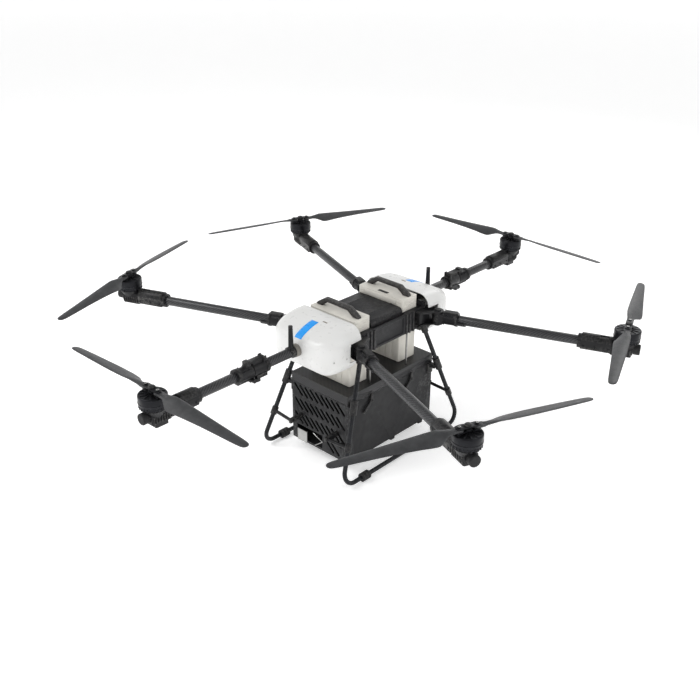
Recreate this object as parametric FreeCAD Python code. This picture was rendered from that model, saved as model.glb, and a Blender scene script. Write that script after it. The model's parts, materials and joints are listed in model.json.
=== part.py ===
import FreeCAD, Part
import math
import os

# Six-rotor farm drone on skids, carrying a ventilated payload case.
# Millimetres, +Z up, nose towards -Y, the machine's left side towards +X.
# The origin is on the ground, under the centre of the airframe.

# ---- driving dimensions ------------------------------------------------
HUB_Z = 737.0            # plane of the propeller pins
ARM_Z = HUB_Z - 106.0    # axis of every arm tube
CENTRE_REACH = 1185.5    # front and rear motors, from the centre
SIDE_MOTOR = (1025.4, 579.9)
SIDE_HINGE = (228.0, 263.0)
FOLD_Y = 700.0           # fold line of the front and rear arms
TUBE_R = 21.75
TUBE_WALL = 2.0
TUBE_FIT = 0.15          # gap between a tube and what clamps it
TUBE_END = 42.0          # tube length past the motor axis

BLADE_R = 545.5
PIN_OFFSET = 37.0        # blade pin from the rotor axis
PIN_R = 4.0
RUN_FIT = 0.05           # radial clearance of a running fit
EYE_R = 16.0
EYE_H = 10.0
GRIP_GAP = 0.5
GRIP_T = 4.0
BLADE_PITCH = 420.0      # advance per turn

BELL_R = 58.0
BELL_TOP = HUB_Z - 16.0
BELL_BOTTOM = HUB_Z - 56.0
BASE_R = 55.0
BASE_BOTTOM = HUB_Z - 73.0
SHAFT_R = 6.0

SKID_X = 269.5
SKID_Z = 21.0
LEG_R = 10.5
COUPLER_R = 21.0
COUPLER_Y = 278.0
COUPLER_LEN = 50.0
LEG_TOP = (177.9, 212.4, 598.0)
LEG_FOOT_Y = 426.0       # where the leg's line meets the skid's line
LEG_BEND_R = 55.0

BEAM_IN = 152.0
BEAM_OUT = 164.0
BEAM_LOW = 572.0
BEAM_HIGH = 672.0
BEAM_END = 236.0
LEDGE_IN = 127.0         # battery shoulders rest outboard of this line
CROSS_Y = (236.0, 246.0)

BATTERY_Y = (112.0, 230.0)
BATTERY_TOP_HALF = 138.0
BATTERY_LOW_HALF = 124.0
BATTERY_TOP = 732.0
BATTERY_SHOULDER = 672.3
BATTERY_BOTTOM = 409.0

CASE_HALF_X = 180.0
CASE_HALF_Y = 300.0
CASE_TOP = 407.0
CASE_SPLIT = 361.0
CASE_BOTTOM = 54.0
CASE_WALL = 3.0
CASE_FLOOR = 6.0
LID_T = 5.0
LATCH_Z = 336.0          # pivots of the cam levers on the case
LATCH_Y = (-150.0, 132.0)

Z = FreeCAD.Vector(0, 0, 1)


def vec(x, y, z):
    return FreeCAD.Vector(x, y, z)


# ---- small helpers -----------------------------------------------------
def block(x0, x1, y0, y1, z0, z1):
    return Part.makeBox(x1 - x0, y1 - y0, z1 - z0, vec(x0, y0, z0))


def rounded_block(x0, x1, y0, y1, z0, z1, r):
    """A box with its four upright edges rounded."""
    core = block(x0 + r, x1 - r, y0, y1, z0, z1)
    core = core.fuse(block(x0, x1, y0 + r, y1 - r, z0, z1))
    for x in (x0 + r, x1 - r):
        for y in (y0 + r, y1 - r):
            core = core.fuse(Part.makeCylinder(r, z1 - z0, vec(x, y, z0)))
    return core.removeSplitter()


def post(r, x, y, z0, z1):
    return Part.makeCylinder(r, z1 - z0, vec(x, y, z0))


def rod(r, start, end):
    """A round bar between two points."""
    run = end - start
    return Part.makeCylinder(r, run.Length, start, run)


def bar_x(r, x0, x1, y, z):
    return rod(r, vec(x0, y, z), vec(x1, y, z))


def bar_y(r, x, y0, y1, z):
    return rod(r, vec(x, y0, z), vec(x, y1, z))


def union(shapes):
    return shapes[0].multiFuse(shapes[1:]).removeSplitter()


def place(shape, angle, x, y):
    """Turn a shape about the vertical through the origin, then shift it."""
    moved = shape.copy()
    moved.rotate(vec(0, 0, 0), Z, angle)
    moved.translate(vec(x, y, 0))
    return moved


def mirror_x(shape):
    return shape.mirror(vec(0, 0, 0), vec(1, 0, 0))


def half_turn(shape):
    return place(shape, 180, 0, 0)


def prism(points, z0, z1):
    """An upright prism over a closed outline of (x, y) points."""
    corners = [vec(x, y, z0) for x, y in points]
    face = Part.Face(Part.makePolygon(corners + corners[:1]))
    return face.extrude(vec(0, 0, z1 - z0))


NODES = {}


def add(name, *shapes):
    solids = [solid for shape in shapes for solid in shape.Solids]
    NODES[name] = solids[0] if len(solids) == 1 else Part.makeCompound(solids)


# ---- one arm in its own frame ------------------------------------------
# The motor axis stands at x = y = 0 and the arm points outboard along +X.
def tube(x0, x1):
    outer = bar_x(TUBE_R, x0, x1, 0, ARM_Z)
    return outer.cut(bar_x(TUBE_R - TUBE_WALL, x0 - 1, x1 + 1, 0, ARM_Z))


def tube_bore(x0, x1):
    return bar_x(TUBE_R + TUBE_FIT, x0, x1, 0, ARM_Z)


def motor_mount(has_controller):
    """Clamp housing inboard of the motor, saddle under it and end cap."""
    shell = bar_x(31, -190, -58, 0, ARM_Z + 9)
    shell = shell.fuse(block(-190, -58, -31, 31, ARM_Z - 26, ARM_Z + 9))
    ring = bar_x(33, -206, -189, 0, ARM_Z)
    saddle = Part.makeCone(31, 53, BASE_BOTTOM - ARM_Z + 2, vec(0, 0, ARM_Z - 2))
    saddle = saddle.fuse(bar_x(30, -62, 34, 0, ARM_Z))
    saddle = saddle.fuse(rounded_block(-62, 30, -27, 27, ARM_Z - 33, ARM_Z, 8))
    fins = [block(x, x + 4, -32, 32, ARM_Z - 26, ARM_Z + 4) for x in range(-50, 24, 12)]
    extra = []
    if has_controller:
        extra.append(rounded_block(-46, 14, -24, 24, ARM_Z - 50, ARM_Z - 32, 6))
    body = union([shell, ring, saddle] + fins + extra)
    body = body.cut(tube_bore(-210, 40)).cut(bar_x(24.5, TUBE_END - 5.8, 70, 0, ARM_Z))
    body = body.cut(block(-112, -72, -19, 19, ARM_Z + 28, ARM_Z + 60))
    cap = bar_x(24, TUBE_END - 5.5, TUBE_END + 22, 0, ARM_Z)
    cap = cap.makeFillet(5, [cap.Edges[0]])
    cap = cap.cut(tube_bore(TUBE_END - 8, TUBE_END + TUBE_FIT))
    return body, cap


def stator():
    """Fixed half of the motor: base plate and wound core around the shaft."""
    base = Part.makeCone(BASE_R - 6, BASE_R, 5, vec(0, 0, BASE_BOTTOM))
    base = base.fuse(post(BASE_R, 0, 0, BASE_BOTTOM + 5, BELL_BOTTOM - 1))
    core = post(44, 0, 0, BELL_BOTTOM - 1.5, BELL_TOP - 8)
    bore = post(SHAFT_R + RUN_FIT, 0, 0, BASE_BOTTOM - 1, BELL_TOP)
    return base.fuse(core).removeSplitter().cut(bore)


def rotor():
    """Bell, shaft and the two grip plates that hold the blade pins."""
    bell = post(BELL_R, 0, 0, BELL_BOTTOM, BELL_TOP)
    bell = bell.makeFillet(6, [e for e in bell.Edges if e.BoundBox.ZMin > BELL_TOP - 1])
    bell = bell.cut(post(BELL_R - 6, 0, 0, BELL_BOTTOM - 1, BELL_TOP - 5))
    shaft = post(SHAFT_R, 0, 0, BASE_BOTTOM + 4, BELL_TOP + 1)
    grip_low = HUB_Z - EYE_H / 2 - GRIP_GAP - GRIP_T
    grip_high = HUB_Z + EYE_H / 2 + GRIP_GAP + GRIP_T
    boss = post(15, 0, 0, BELL_TOP - 1, grip_high + 3)
    plates = []
    for z0 in (grip_low, grip_high - GRIP_T):
        bar = block(-15, 15, -PIN_OFFSET, PIN_OFFSET, z0, z0 + GRIP_T)
        ends = [post(15, 0, side * PIN_OFFSET, z0, z0 + GRIP_T) for side in (-1, 1)]
        plates += [bar] + ends
    pins = [post(PIN_R, 0, side * PIN_OFFSET, grip_low - 2, grip_high + 5) for side in (-1, 1)]
    heads = [post(7, 0, side * PIN_OFFSET, grip_high, grip_high + 4.5) for side in (-1, 1)]
    return union([bell, shaft, boss] + plates + pins + heads)


def blade_section(r, lead, trail, thick):
    """Closed lens outline of the blade at radius r, turned to its pitch angle."""
    angle = math.atan(BLADE_PITCH / (2 * math.pi * r))
    swing = min(1.0, max(0.0, (r - 62.0) / 60.0))
    angle *= swing
    camber = 0.35 * thick * swing

    def point(across, up):
        y = across * math.cos(angle) - up * math.sin(angle)
        z = across * math.sin(angle) + up * math.cos(angle)
        return vec(r, y, HUB_Z + z)

    middle = 0.25 * lead - 0.25 * trail
    front, back = point(lead, 0), point(-trail, 0)
    top = Part.Arc(front, point(middle, thick / 2 + camber), back).toShape()
    low = Part.Arc(back, point(middle, -thick / 2 + camber), front).toShape()
    return Part.Wire([top, low])


def blade(spin):
    """Folding blade lying along +X from its pin; spin +1 leads towards +Y."""
    stations = (
        (60.0, 15.5, 15.5, 9.5),
        (84.0, 17.0, 17.0, 9.5),
        (108.0, 25.0, 38.0, 9.0),
        (138.0, 30.0, 57.0, 8.5),
        (220.0, 29.0, 48.0, 7.5),
        (330.0, 26.5, 37.5, 6.0),
        (440.0, 23.0, 28.5, 4.8),
        (515.0, 20.0, 21.5, 4.0),
        (538.0, 15.0, 16.0, 3.4),
        (BLADE_R, 6.0, 6.0, 3.0),
    )
    foil = Part.makeLoft([blade_section(*row) for row in stations], True, False)
    neck = block(PIN_OFFSET, 64, -15, 15, HUB_Z - 4, HUB_Z + 4)
    eye = post(EYE_R, PIN_OFFSET, 0, HUB_Z - EYE_H / 2, HUB_Z + EYE_H / 2)
    shape = union([foil, neck, eye])
    shape = shape.cut(post(PIN_R + RUN_FIT, PIN_OFFSET, 0, HUB_Z - 20, HUB_Z + 20))
    if spin < 0:
        shape = shape.mirror(vec(0, 0, 0), vec(0, 1, 0))
    return shape


def side_root(reach):
    """Pivoting foot of a side arm: knuckle on the upright pin, then the clamp."""
    knuckle = post(26, -reach, 0, ARM_Z - 26, ARM_Z + 26)
    web = block(-reach, -reach + 40, -24, 24, ARM_Z - 24, ARM_Z + 24)
    clamp = bar_x(30, -reach + 34, -reach + 100, 0, ARM_Z)
    spine = block(-reach + 34, -reach + 96, -14, 14, ARM_Z + 22, ARM_Z + 36)
    collar = bar_x(33, -reach + 88, -reach + 100, 0, ARM_Z)
    jaw = bar_x(28, -reach + 96, -reach + 138, 0, ARM_Z)
    jaw = jaw.common(block(-reach + 90, -reach + 140, -40, 40, ARM_Z - 40, ARM_Z - 4))
    shape = union([knuckle, web, clamp, spine, collar, jaw])
    shape = shape.cut(tube_bore(-reach + 45, -reach + 141))
    return shape.cut(post(10 + RUN_FIT, -reach, 0, ARM_Z - 30, ARM_Z + 30))


def fold_root(reach):
    """Outer half of a centre arm's fold joint, with its lug and latch keeper."""
    start = -reach + 2
    sleeve = bar_x(30, start, -reach + 85, 0, ARM_Z)
    collar = bar_x(33.5, -reach + 68, -reach + 85, 0, ARM_Z)
    rail = block(start, -reach + 80, -11, 11, ARM_Z - 38, ARM_Z - 20)
    lug = bar_y(10, -reach, -11, 11, ARM_Z - 42)
    neck = block(-reach, -reach + 12, -11, 11, ARM_Z - 50, ARM_Z - 34)
    keeper = block(-reach + 6, -reach + 34, -13, 13, ARM_Z + 26, ARM_Z + 37)
    shape = union([sleeve, collar, rail, lug, neck, keeper])
    shape = shape.cut(tube_bore(-reach + 12, -reach + 90))
    return shape.cut(bar_y(4 + RUN_FIT, -reach, -20, 20, ARM_Z - 42))


def add_arm(name, angle, motor, spin, root_shape, tube_start):
    """All nodes of one arm, placed with its motor axis over the given point."""
    def put(shape):
        return place(shape, angle, *motor)

    body, cap = motor_mount(name in ("front", "rear"))
    add("arm_" + name, put(tube(tube_start, TUBE_END)), put(root_shape))
    add("motor_mount_" + name, put(body), put(cap), put(stator()))
    add("rotor_" + name, put(rotor()))
    for tag, turn in (("a", 90), ("b", 270)):
        lying = place(blade(spin), turn, 0, 0)
        add("blade_" + name + "_" + tag, put(lying))


def build_arms():
    sx, sy = SIDE_MOTOR
    hx, hy = SIDE_HINGE
    side_reach = math.hypot(sx - hx, sy - hy)
    side_angle = math.degrees(math.atan2(sy - hy, sx - hx))
    sides = (
        ("front_left", -side_angle, (sx, -sy), -1),
        ("rear_left", side_angle, (sx, sy), 1),
        ("rear_right", 180 - side_angle, (-sx, sy), 1),
        ("front_right", 180 + side_angle, (-sx, -sy), -1),
    )
    for name, angle, motor, spin in sides:
        add_arm(name, angle, motor, spin, side_root(side_reach), -side_reach + 46)
    fold_reach = CENTRE_REACH - FOLD_Y
    for name, angle, side, spin in (("front", -90, -1, 1), ("rear", 90, 1, -1)):
        motor = (0, side * CENTRE_REACH)
        add_arm(name, angle, motor, spin, fold_root(fold_reach), -fold_reach + 13)


# ---- fixed root of the front and rear arms -------------------------------
def front_arm_root():
    """Inner tube, nose collar and inner half of the fold joint, on the -Y side."""
    pipe = bar_y(TUBE_R, 0, -FOLD_Y + 13, -CROSS_Y[1], ARM_Z)
    pipe = pipe.cut(bar_y(TUBE_R - TUBE_WALL, 0, -FOLD_Y, -CROSS_Y[0], ARM_Z))
    sleeve = bar_y(30, 0, -FOLD_Y + 2, -FOLD_Y + 85, ARM_Z)
    collar = bar_y(33.5, 0, -FOLD_Y + 68, -FOLD_Y + 85, ARM_Z)
    rail = block(-26, 26, -FOLD_Y + 14, -FOLD_Y + 70, ARM_Z - 38, ARM_Z - 20)
    seat = block(-13, 13, -FOLD_Y + 4, -FOLD_Y + 72, ARM_Z + 26, ARM_Z + 37)
    lugs = []
    for side in (-1, 1):
        x0, x1 = sorted((side * 11.5, side * 26))
        lugs.append(bar_x(10, x0, x1, -FOLD_Y, ARM_Z - 42))
        lugs.append(block(x0, x1, -FOLD_Y, -FOLD_Y + 16, ARM_Z - 50, ARM_Z - 36))
        lugs.append(block(x0, x1, -FOLD_Y + 14, -FOLD_Y + 30, ARM_Z - 52, ARM_Z - 20))
    pin = bar_x(4, -26, 26, -FOLD_Y, ARM_Z - 42)
    cheeks = []
    for side in (-1, 1):
        x0, x1 = sorted((side * 14.5, side * 19))
        cheeks.append(block(x0, x1, -FOLD_Y + 58, -FOLD_Y + 74, ARM_Z + 20, ARM_Z + 50))
    lever_pin = bar_x(2.5, -19, 19, -FOLD_Y + 66, ARM_Z + 44)
    joint = union([sleeve, collar, rail, seat, pin, lever_pin] + lugs + cheeks)
    joint = joint.cut(bar_y(TUBE_R + TUBE_FIT, 0, -FOLD_Y + 12, -FOLD_Y + 90, ARM_Z))
    nose_ring = bar_y(29, 0, -455, -415, ARM_Z)
    nose_ring = nose_ring.cut(bar_y(TUBE_R + TUBE_FIT, 0, -460, -410, ARM_Z))
    return pipe, joint, nose_ring


def front_fold_latch():
    """Flip lever over the closed fold joint, turning on the pin between cheeks."""
    barrel = bar_x(6, -14, 14, -FOLD_Y + 66, ARM_Z + 44)
    plate = block(-13.5, 13.5, -FOLD_Y - 32, -FOLD_Y + 66, ARM_Z + 38, ARM_Z + 46)
    grip = block(-13.5, 13.5, -FOLD_Y - 32, -FOLD_Y - 10, ARM_Z + 40, ARM_Z + 52)
    lever = union([barrel, plate, grip])
    return lever.cut(bar_x(2.5 + RUN_FIT, -20, 20, -FOLD_Y + 66, ARM_Z + 44))


def build_centre_roots():
    add("arm_root_front", *front_arm_root())
    add("arm_root_rear", *[half_turn(shape) for shape in front_arm_root()])
    add("fold_latch_front", front_fold_latch())
    add("fold_latch_rear", half_turn(front_fold_latch()))


# ---- frame -----------------------------------------------------------------
def left_beam():
    """Left longeron with upright ribs and ledges that carry both batteries."""
    web = block(BEAM_IN, BEAM_OUT, -BEAM_END, BEAM_END, BEAM_LOW, BEAM_HIGH)
    pocket = block(BEAM_OUT - 5, BEAM_OUT + 1, -92, 92, BEAM_LOW + 12, BEAM_HIGH - 12)
    web = web.cut(pocket)
    ribs = [
        block(BEAM_OUT - 1, BEAM_OUT + 6, y - 5, y + 5, BEAM_LOW, BEAM_HIGH)
        for y in (-160, -134, -112, 112, 134, 160)
    ]
    ledges = [
        block(LEDGE_IN, BEAM_IN + 1, y0, y0 + 116, BEAM_HIGH - 12, BEAM_HIGH) for y0 in (-228, 112)
    ]
    return union([web] + ribs + ledges)


def corner_bracket():
    """Clevis at the front left corner: two plates around the arm's knuckle."""
    hx, hy = SIDE_HINGE
    outline = [
        (BEAM_OUT + 0.1, -176), (BEAM_OUT + 0.1, -CROSS_Y[0]), (BEAM_IN, -CROSS_Y[0]),
        (BEAM_IN, -hy - 12), (hx, -hy - 28), (hx + 26, -hy), (hx, -hy + 28), (196, -176),
    ]
    low, high = ARM_Z - 33, ARM_Z + 33
    plates = [prism(outline, low, low + 6), prism(outline, high - 6, high)]
    ends = [post(28, hx, -hy, z, z + 6) for z in (low, high - 6)]
    web_outline = [
        (BEAM_OUT + 0.1, -176), (BEAM_OUT + 0.1, -CROSS_Y[0]), (BEAM_IN, -CROSS_Y[0]),
        (BEAM_IN, -hy - 12), (186, -hy - 18), (190, -hy), (190, -176),
    ]
    web = prism(web_outline, low, high)
    pin = post(10, hx, -hy, low - 4, high + 4)
    nut = post(16, hx, -hy, high, high + 7)
    head = post(15, hx, -hy, low - 8, low)
    return union(plates + ends + [web, pin, nut, head])


def leg_direction():
    foot = vec(SKID_X, -LEG_FOOT_Y, SKID_Z)
    return (foot - vec(LEG_TOP[0], -LEG_TOP[1], LEG_TOP[2])).normalize()


def leg_point(z):
    """Point of the front left leg's axis at height z."""
    top = vec(LEG_TOP[0], -LEG_TOP[1], LEG_TOP[2])
    run = leg_direction()
    return top + run * ((z - top.z) / run.z)


def corner_copies(shape):
    """A front left shape and its mirror images at the other three corners."""
    return [shape, shape.mirror(vec(0, 0, 0), vec(0, 1, 0)), mirror_x(shape), half_turn(shape)]


def build_frame():
    beam = left_beam()
    add("side_beams", beam, mirror_x(beam))
    cross = block(-BEAM_OUT, BEAM_OUT, -CROSS_Y[1], -CROSS_Y[0], BEAM_LOW + 3, 690)
    cross = cross.cut(block(BEAM_IN - 0.1, BEAM_OUT + 1, -250, -230, ARM_Z - 33.1, ARM_Z + 33.1))
    cross = cross.cut(block(-BEAM_OUT - 1, -BEAM_IN + 0.1, -250, -230, ARM_Z - 33.1, ARM_Z + 33.1))
    for x in (-105, 105):
        cross = cross.cut(bar_y(30, x, -250, -230, ARM_Z))
    add("corner_brackets", *corner_copies(corner_bracket()))
    deck = block(-BEAM_IN, BEAM_IN, -104, 104, 576, 582)
    walls = [block(-BEAM_IN, BEAM_IN, y, y + 4, 582, 655) for y in (-108, 104)]
    add("cross_members", cross, half_turn(cross), union([deck] + walls))
    power_board = rounded_block(-90, 90, -70, 70, 582, 606, 8)
    flight_controller = rounded_block(-45, 45, -35, 35, 606, 634, 6)
    add("avionics", power_board, flight_controller)
    add("hanger_rods", *[post(4.5, x, y, CASE_TOP, BEAM_LOW) for x in (-156, 156) for y in (-128, 128)])


def centre_cover():
    """Dark hood over the middle bay, rounded along both long sides."""
    def hood(half, low, high, r):
        core = block(-half, half, -107, 107, low, high - r)
        top = block(-half + r, half - r, -107, 107, high - r, high)
        sides = [bar_y(r, x, -107, 107, high - r) for x in (-half + r, half - r)]
        return union([core, top] + sides)

    shell = hood(141, 656, 700, 22)
    shell = shell.cut(hood(138, 650, 697, 19))
    ridges = [block(x - 3, x + 3, -107, 107, 699, 702) for x in (-72, 72)]
    return union([shell] + ridges)


# ---- nose and tail covers ---------------------------------------------------
def cover_section(y, half, low, high, r):
    """Rounded rectangle across the machine at station y."""
    def corner_point(cx, cz, degrees):
        angle = math.radians(degrees)
        return vec(cx + r * math.cos(angle), y, cz + r * math.sin(angle))

    corners = (
        (half - r, high - r, 0), (-half + r, high - r, 90),
        (-half + r, low + r, 180), (half - r, low + r, 270),
    )
    arcs = [
        [corner_point(cx, cz, start + turn) for turn in (0, 45, 90)] for cx, cz, start in corners
    ]
    edges = []
    for index, arc in enumerate(arcs):
        edges.append(Part.Arc(*arc).toShape())
        edges.append(Part.LineSegment(arc[2], arcs[(index + 1) % 4][0]).toShape())
    return Part.Wire(edges)


def pod(inset):
    """Solid nose shape, shrunk all round by the inset."""
    stations = (
        (-233.0 + inset * 2, 196, 541, 734, 56),
        (-280.0, 199, 536, 733, 60),
        (-330.0, 197, 534, 727, 62),
        (-370.0, 190, 534, 716, 60),
        (-395.0, 178, 537, 705, 54),
        (-411.0, 163, 546, 697, 46),
        (-423.0, 145, 566, 688, 38),
        (-431.0 + inset, 122, 598, 678, 28),
    )
    wires = [
        cover_section(y, half - inset, low + inset, high - inset, r - inset * 0.8)
        for y, half, low, high, r in stations
    ]
    return Part.makeLoft(wires, True, False)


def nose_cover():
    shell = pod(0).cut(pod(3.2))
    for side in (-1, 1):
        x0, x1 = sorted((side * 150, side * 230))
        shell = shell.cut(block(x0, x1, -302, -225, ARM_Z - 48, ARM_Z + 46))
        shell = shell.cut(block(x0, x1, -258, -225, 500, ARM_Z - 40))
    return shell.cut(bar_y(29.3, 0, -480, -400, ARM_Z))


def antenna():
    """Stub mast on a slanted band around the front tube."""
    mast = Part.makeCone(12, 9.5, 104, vec(0, -468, ARM_Z + 22))
    band = block(-40, 40, -8, 8, -60, 60)
    band.rotate(vec(0, 0, 0), vec(1, 0, 0), 20)
    band.translate(vec(0, -468, ARM_Z))
    band = band.common(bar_y(27, 0, -520, -455.3, ARM_Z))
    return union([mast, band]).cut(bar_y(TUBE_R + TUBE_FIT, 0, -520, -440, ARM_Z))


def build_covers():
    add("centre_cover", centre_cover())
    add("cover_front", nose_cover())
    add("cover_rear", half_turn(nose_cover()))
    add("antennas", antenna(), half_turn(antenna()))


# ---- batteries ----------------------------------------------------------------
def front_battery():
    """Battery case with stepped shoulders, and its carrying handle."""
    y0, y1 = -BATTERY_Y[1], -BATTERY_Y[0]
    low = BATTERY_LOW_HALF
    case = rounded_block(-low, low, y0, y1, BATTERY_BOTTOM, BATTERY_SHOULDER + 1, 8)
    head = rounded_block(-BATTERY_TOP_HALF, BATTERY_TOP_HALF, y0 + 14, y1,
                         BATTERY_SHOULDER, BATTERY_TOP, 8)
    step = block(-96, 96, y1 - 1, y1 + 3, 704, 722)
    case = union([case, head, step])
    for x in (-78, -39, 0, 39, 78):
        case = case.cut(block(x - 3, x + 3, y0 - 1, y0 + 2.5, 420, 660))
        case = case.cut(block(x - 3, x + 3, y1 - 2.5, y1 + 1, 420, 568))
    well = rounded_block(-30, 30, -142, -124, BATTERY_TOP - 6, BATTERY_TOP + 1, 3)
    return case.cut(well)


def front_handle():
    outline = [(-131, BATTERY_TOP), (-96, BATTERY_TOP), (-62, 757), (62, 757), (96, BATTERY_TOP),
               (131, BATTERY_TOP), (124, 744), (76, 775), (-76, 775), (-124, 744)]
    corners = [vec(x, -184, z) for x, z in outline]
    face = Part.Face(Part.makePolygon(corners + corners[:1]))
    return face.extrude(vec(0, 26, 0))


def front_button():
    return rounded_block(-29.5, 29.5, -141.5, -124.5, BATTERY_TOP - 2.6, BATTERY_TOP + 1.0, 2.6)


def build_batteries():
    add("battery_front", front_battery(), front_handle())
    add("battery_rear", half_turn(front_battery()), half_turn(front_handle()))
    add("battery_button_front", front_button())
    add("battery_button_rear", half_turn(front_button()))


# ---- landing gear ---------------------------------------------------------------
def bent_leg():
    """Front left leg: straight splayed tube that bends into the skid line."""
    run = leg_direction()
    corner = vec(SKID_X, -LEG_FOOT_Y, SKID_Z)
    inward = vec(0, 1, 0)
    half = (math.pi - (run * -1).getAngle(inward)) / 2
    back = LEG_BEND_R * math.tan(half)
    start = leg_point(LEG_TOP[2] - 6)
    bend_in, bend_out = corner - run * back, corner + inward * back
    to_middle = (inward - run).normalize()
    centre = corner + to_middle * (LEG_BEND_R / math.cos(half))
    bend_mid = centre - to_middle * LEG_BEND_R
    end = vec(SKID_X, -COUPLER_Y - 1, SKID_Z)
    path = Part.Wire([
        Part.LineSegment(start, bend_in).toShape(),
        Part.Arc(bend_in, bend_mid, bend_out).toShape(),
        Part.LineSegment(bend_out, end).toShape(),
    ])
    ring = Part.Wire(Part.Circle(start, run, LEG_R).toShape())
    return path.makePipeShell([ring], True, False)


def coupler():
    """Ribbed joint between leg and skid, also the foot that meets the ground."""
    y0, y1 = -COUPLER_Y - COUPLER_LEN / 2, -COUPLER_Y + COUPLER_LEN / 2
    body = bar_y(COUPLER_R - 2.5, SKID_X, y0, y1, SKID_Z)
    rings = [bar_y(COUPLER_R, SKID_X, y, y + 9, SKID_Z) for y in (y0 + 3, y0 + 20.5, y1 - 12)]
    pad = block(SKID_X - 9, SKID_X + 9, y0 + 2, y1 - 2, 0, SKID_Z - LEG_R - 1)
    shape = union([body, pad] + rings)
    shape = shape.cut(block(SKID_X - 40, SKID_X + 40, y0 - 1, y1 + 1, -5, 0))
    return shape.cut(bar_y(LEG_R + TUBE_FIT, SKID_X, y0 - 1, y1 + 1, SKID_Z))


def leg_fittings():
    """Sockets, sleeves and struts of the front left leg."""
    hollow = rod(LEG_R + TUBE_FIT, leg_point(599), leg_point(80))
    socket = rod(16.5, leg_point(ARM_Z - 33.2), leg_point(552))
    sleeve_low, sleeve_high = leg_point(338), leg_point(398)
    sleeve = rod(17, sleeve_high, sleeve_low)
    arm = prism([(CASE_HALF_X + 0.1, -278), (CASE_HALF_X + 0.1, -CASE_HALF_Y),
                 (206, -308), (212, -280)], 340, 358)
    plate = block(CASE_HALF_X + 0.1, CASE_HALF_X + 6, -CASE_HALF_Y, -262, 310, 360)
    collar = rod(15.5, leg_point(213), leg_point(179))
    lug_x, lug_y, lug_z = 118, -370, 194
    strut = rod(8, leg_point(196), vec(lug_x, lug_y, lug_z))
    lug = block(lug_x - 8, lug_x + 6, lug_y - 9, -CASE_HALF_Y - 0.1, lug_z - 11, lug_z + 11)
    parts = [union([sleeve, arm, plate]), union([collar, strut, lug])]
    parts.append(socket.common(block(BEAM_OUT + 0.1, 260, -300, -150, 500, ARM_Z - 33.1)))
    return [part.cut(hollow) for part in parts]


def build_landing_gear():
    legs = corner_copies(bent_leg())
    add("legs_left", *legs[:2])
    add("legs_right", *legs[2:])
    end = COUPLER_Y - 1
    add("skid_tubes", *[bar_y(LEG_R, x, -end + 1, end - 1, SKID_Z) for x in (-SKID_X, SKID_X)])
    add("skid_couplers", *corner_copies(coupler()))
    fittings = []
    for fitting in leg_fittings():
        fittings += corner_copies(fitting)
    add("leg_fittings", *fittings)


# ---- payload case --------------------------------------------------------------
def slot_cutter(x, z, y0, y1):
    """One slanted vent slot, running down towards +X, through y0 to y1."""
    reach, width = 22.0, 13.0
    ends = [vec(x - reach, y0, z + reach), vec(x + reach, y0, z - reach)]
    normal = vec(1, 0, 1).normalize() * (width / 2)
    corners = [ends[0] + normal, ends[1] + normal, ends[1] - normal, ends[0] - normal]
    face = Part.Face(Part.makePolygon(corners + corners[:1]))
    cutter = face.extrude(vec(0, y1 - y0, 0))
    tips = [Part.makeCylinder(width / 2, y1 - y0, end, vec(0, 1, 0)) for end in ends]
    return [cutter] + tips


def vent_panel(front):
    """End wall with four rows of slanted slots; the front one has the hatch."""
    inner = CASE_HALF_X - CASE_WALL - 0.1
    y0, y1 = -CASE_HALF_Y, -CASE_HALF_Y + CASE_WALL
    panel = block(-inner, inner, y0, y1, CASE_BOTTOM + CASE_FLOOR + 0.1, CASE_SPLIT)
    cutters = []
    for row in range(4):
        z = CASE_SPLIT - 34 - 76 * row
        for column in range(9):
            x = -136 + 34 * column
            blocked = front and ((row == 3 and x < 45) or (row == 3 and x > 125))
            if not blocked:
                cutters += slot_cutter(x, z, y0 - 1, y1 + 1)
    if front:
        cutters.append(rounded_block(-82, 18, y0 - 1, y1 + 1, CASE_BOTTOM + 12, 136, 1))
        cutters.append(block(-150, -81, y0 - 1, y1 + 1, 114, 136))
    panel = panel.cut(Part.makeCompound(cutters))
    if not front:
        return panel
    hatch = block(-147, -84, y0 - 2, y0 - 0.1, CASE_BOTTOM - 4, 112)
    knob = bar_y(16, 146, y0 - 9, y0 - 0.1, 137)
    knob = knob.cut(bar_y(8, 146, y0 - 12, y0 - 4, 137))
    bail = rod(2, vec(-40, y0 - 3, 128), vec(22, y0 - 3, 104))
    bail = bail.fuse(rod(2, vec(22, y0 - 3, 104), vec(-30, y0 - 3, 64)))
    return Part.makeCompound([panel, hatch, knob, bail])


def case_tub():
    """Floor and two plain side walls of the case, with feet and edge lugs."""
    hx, hy = CASE_HALF_X, CASE_HALF_Y
    floor = block(-hx, hx, -hy, hy, CASE_BOTTOM, CASE_BOTTOM + CASE_FLOOR)
    walls = [
        block(x0, x0 + CASE_WALL, -hy, hy, CASE_BOTTOM, CASE_SPLIT) for x0 in (-hx, hx - CASE_WALL)
    ]
    feet = [
        rounded_block(x0, x0 + 26, y - 16, y + 16, CASE_BOTTOM - 10, CASE_BOTTOM + 1, 6)
        for x0 in (-hx - 2, hx - 24) for y in (-230, 20, 230)
    ]
    return union([floor] + walls + feet)


def case_lid():
    hx, hy = CASE_HALF_X, CASE_HALF_Y
    lid = block(-hx, hx, -hy, hy, CASE_SPLIT + 1.5, CASE_TOP)
    return lid.cut(block(-hx + 3, hx - 3, -hy + 3, hy - 3, CASE_SPLIT, CASE_TOP - LID_T))


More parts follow.
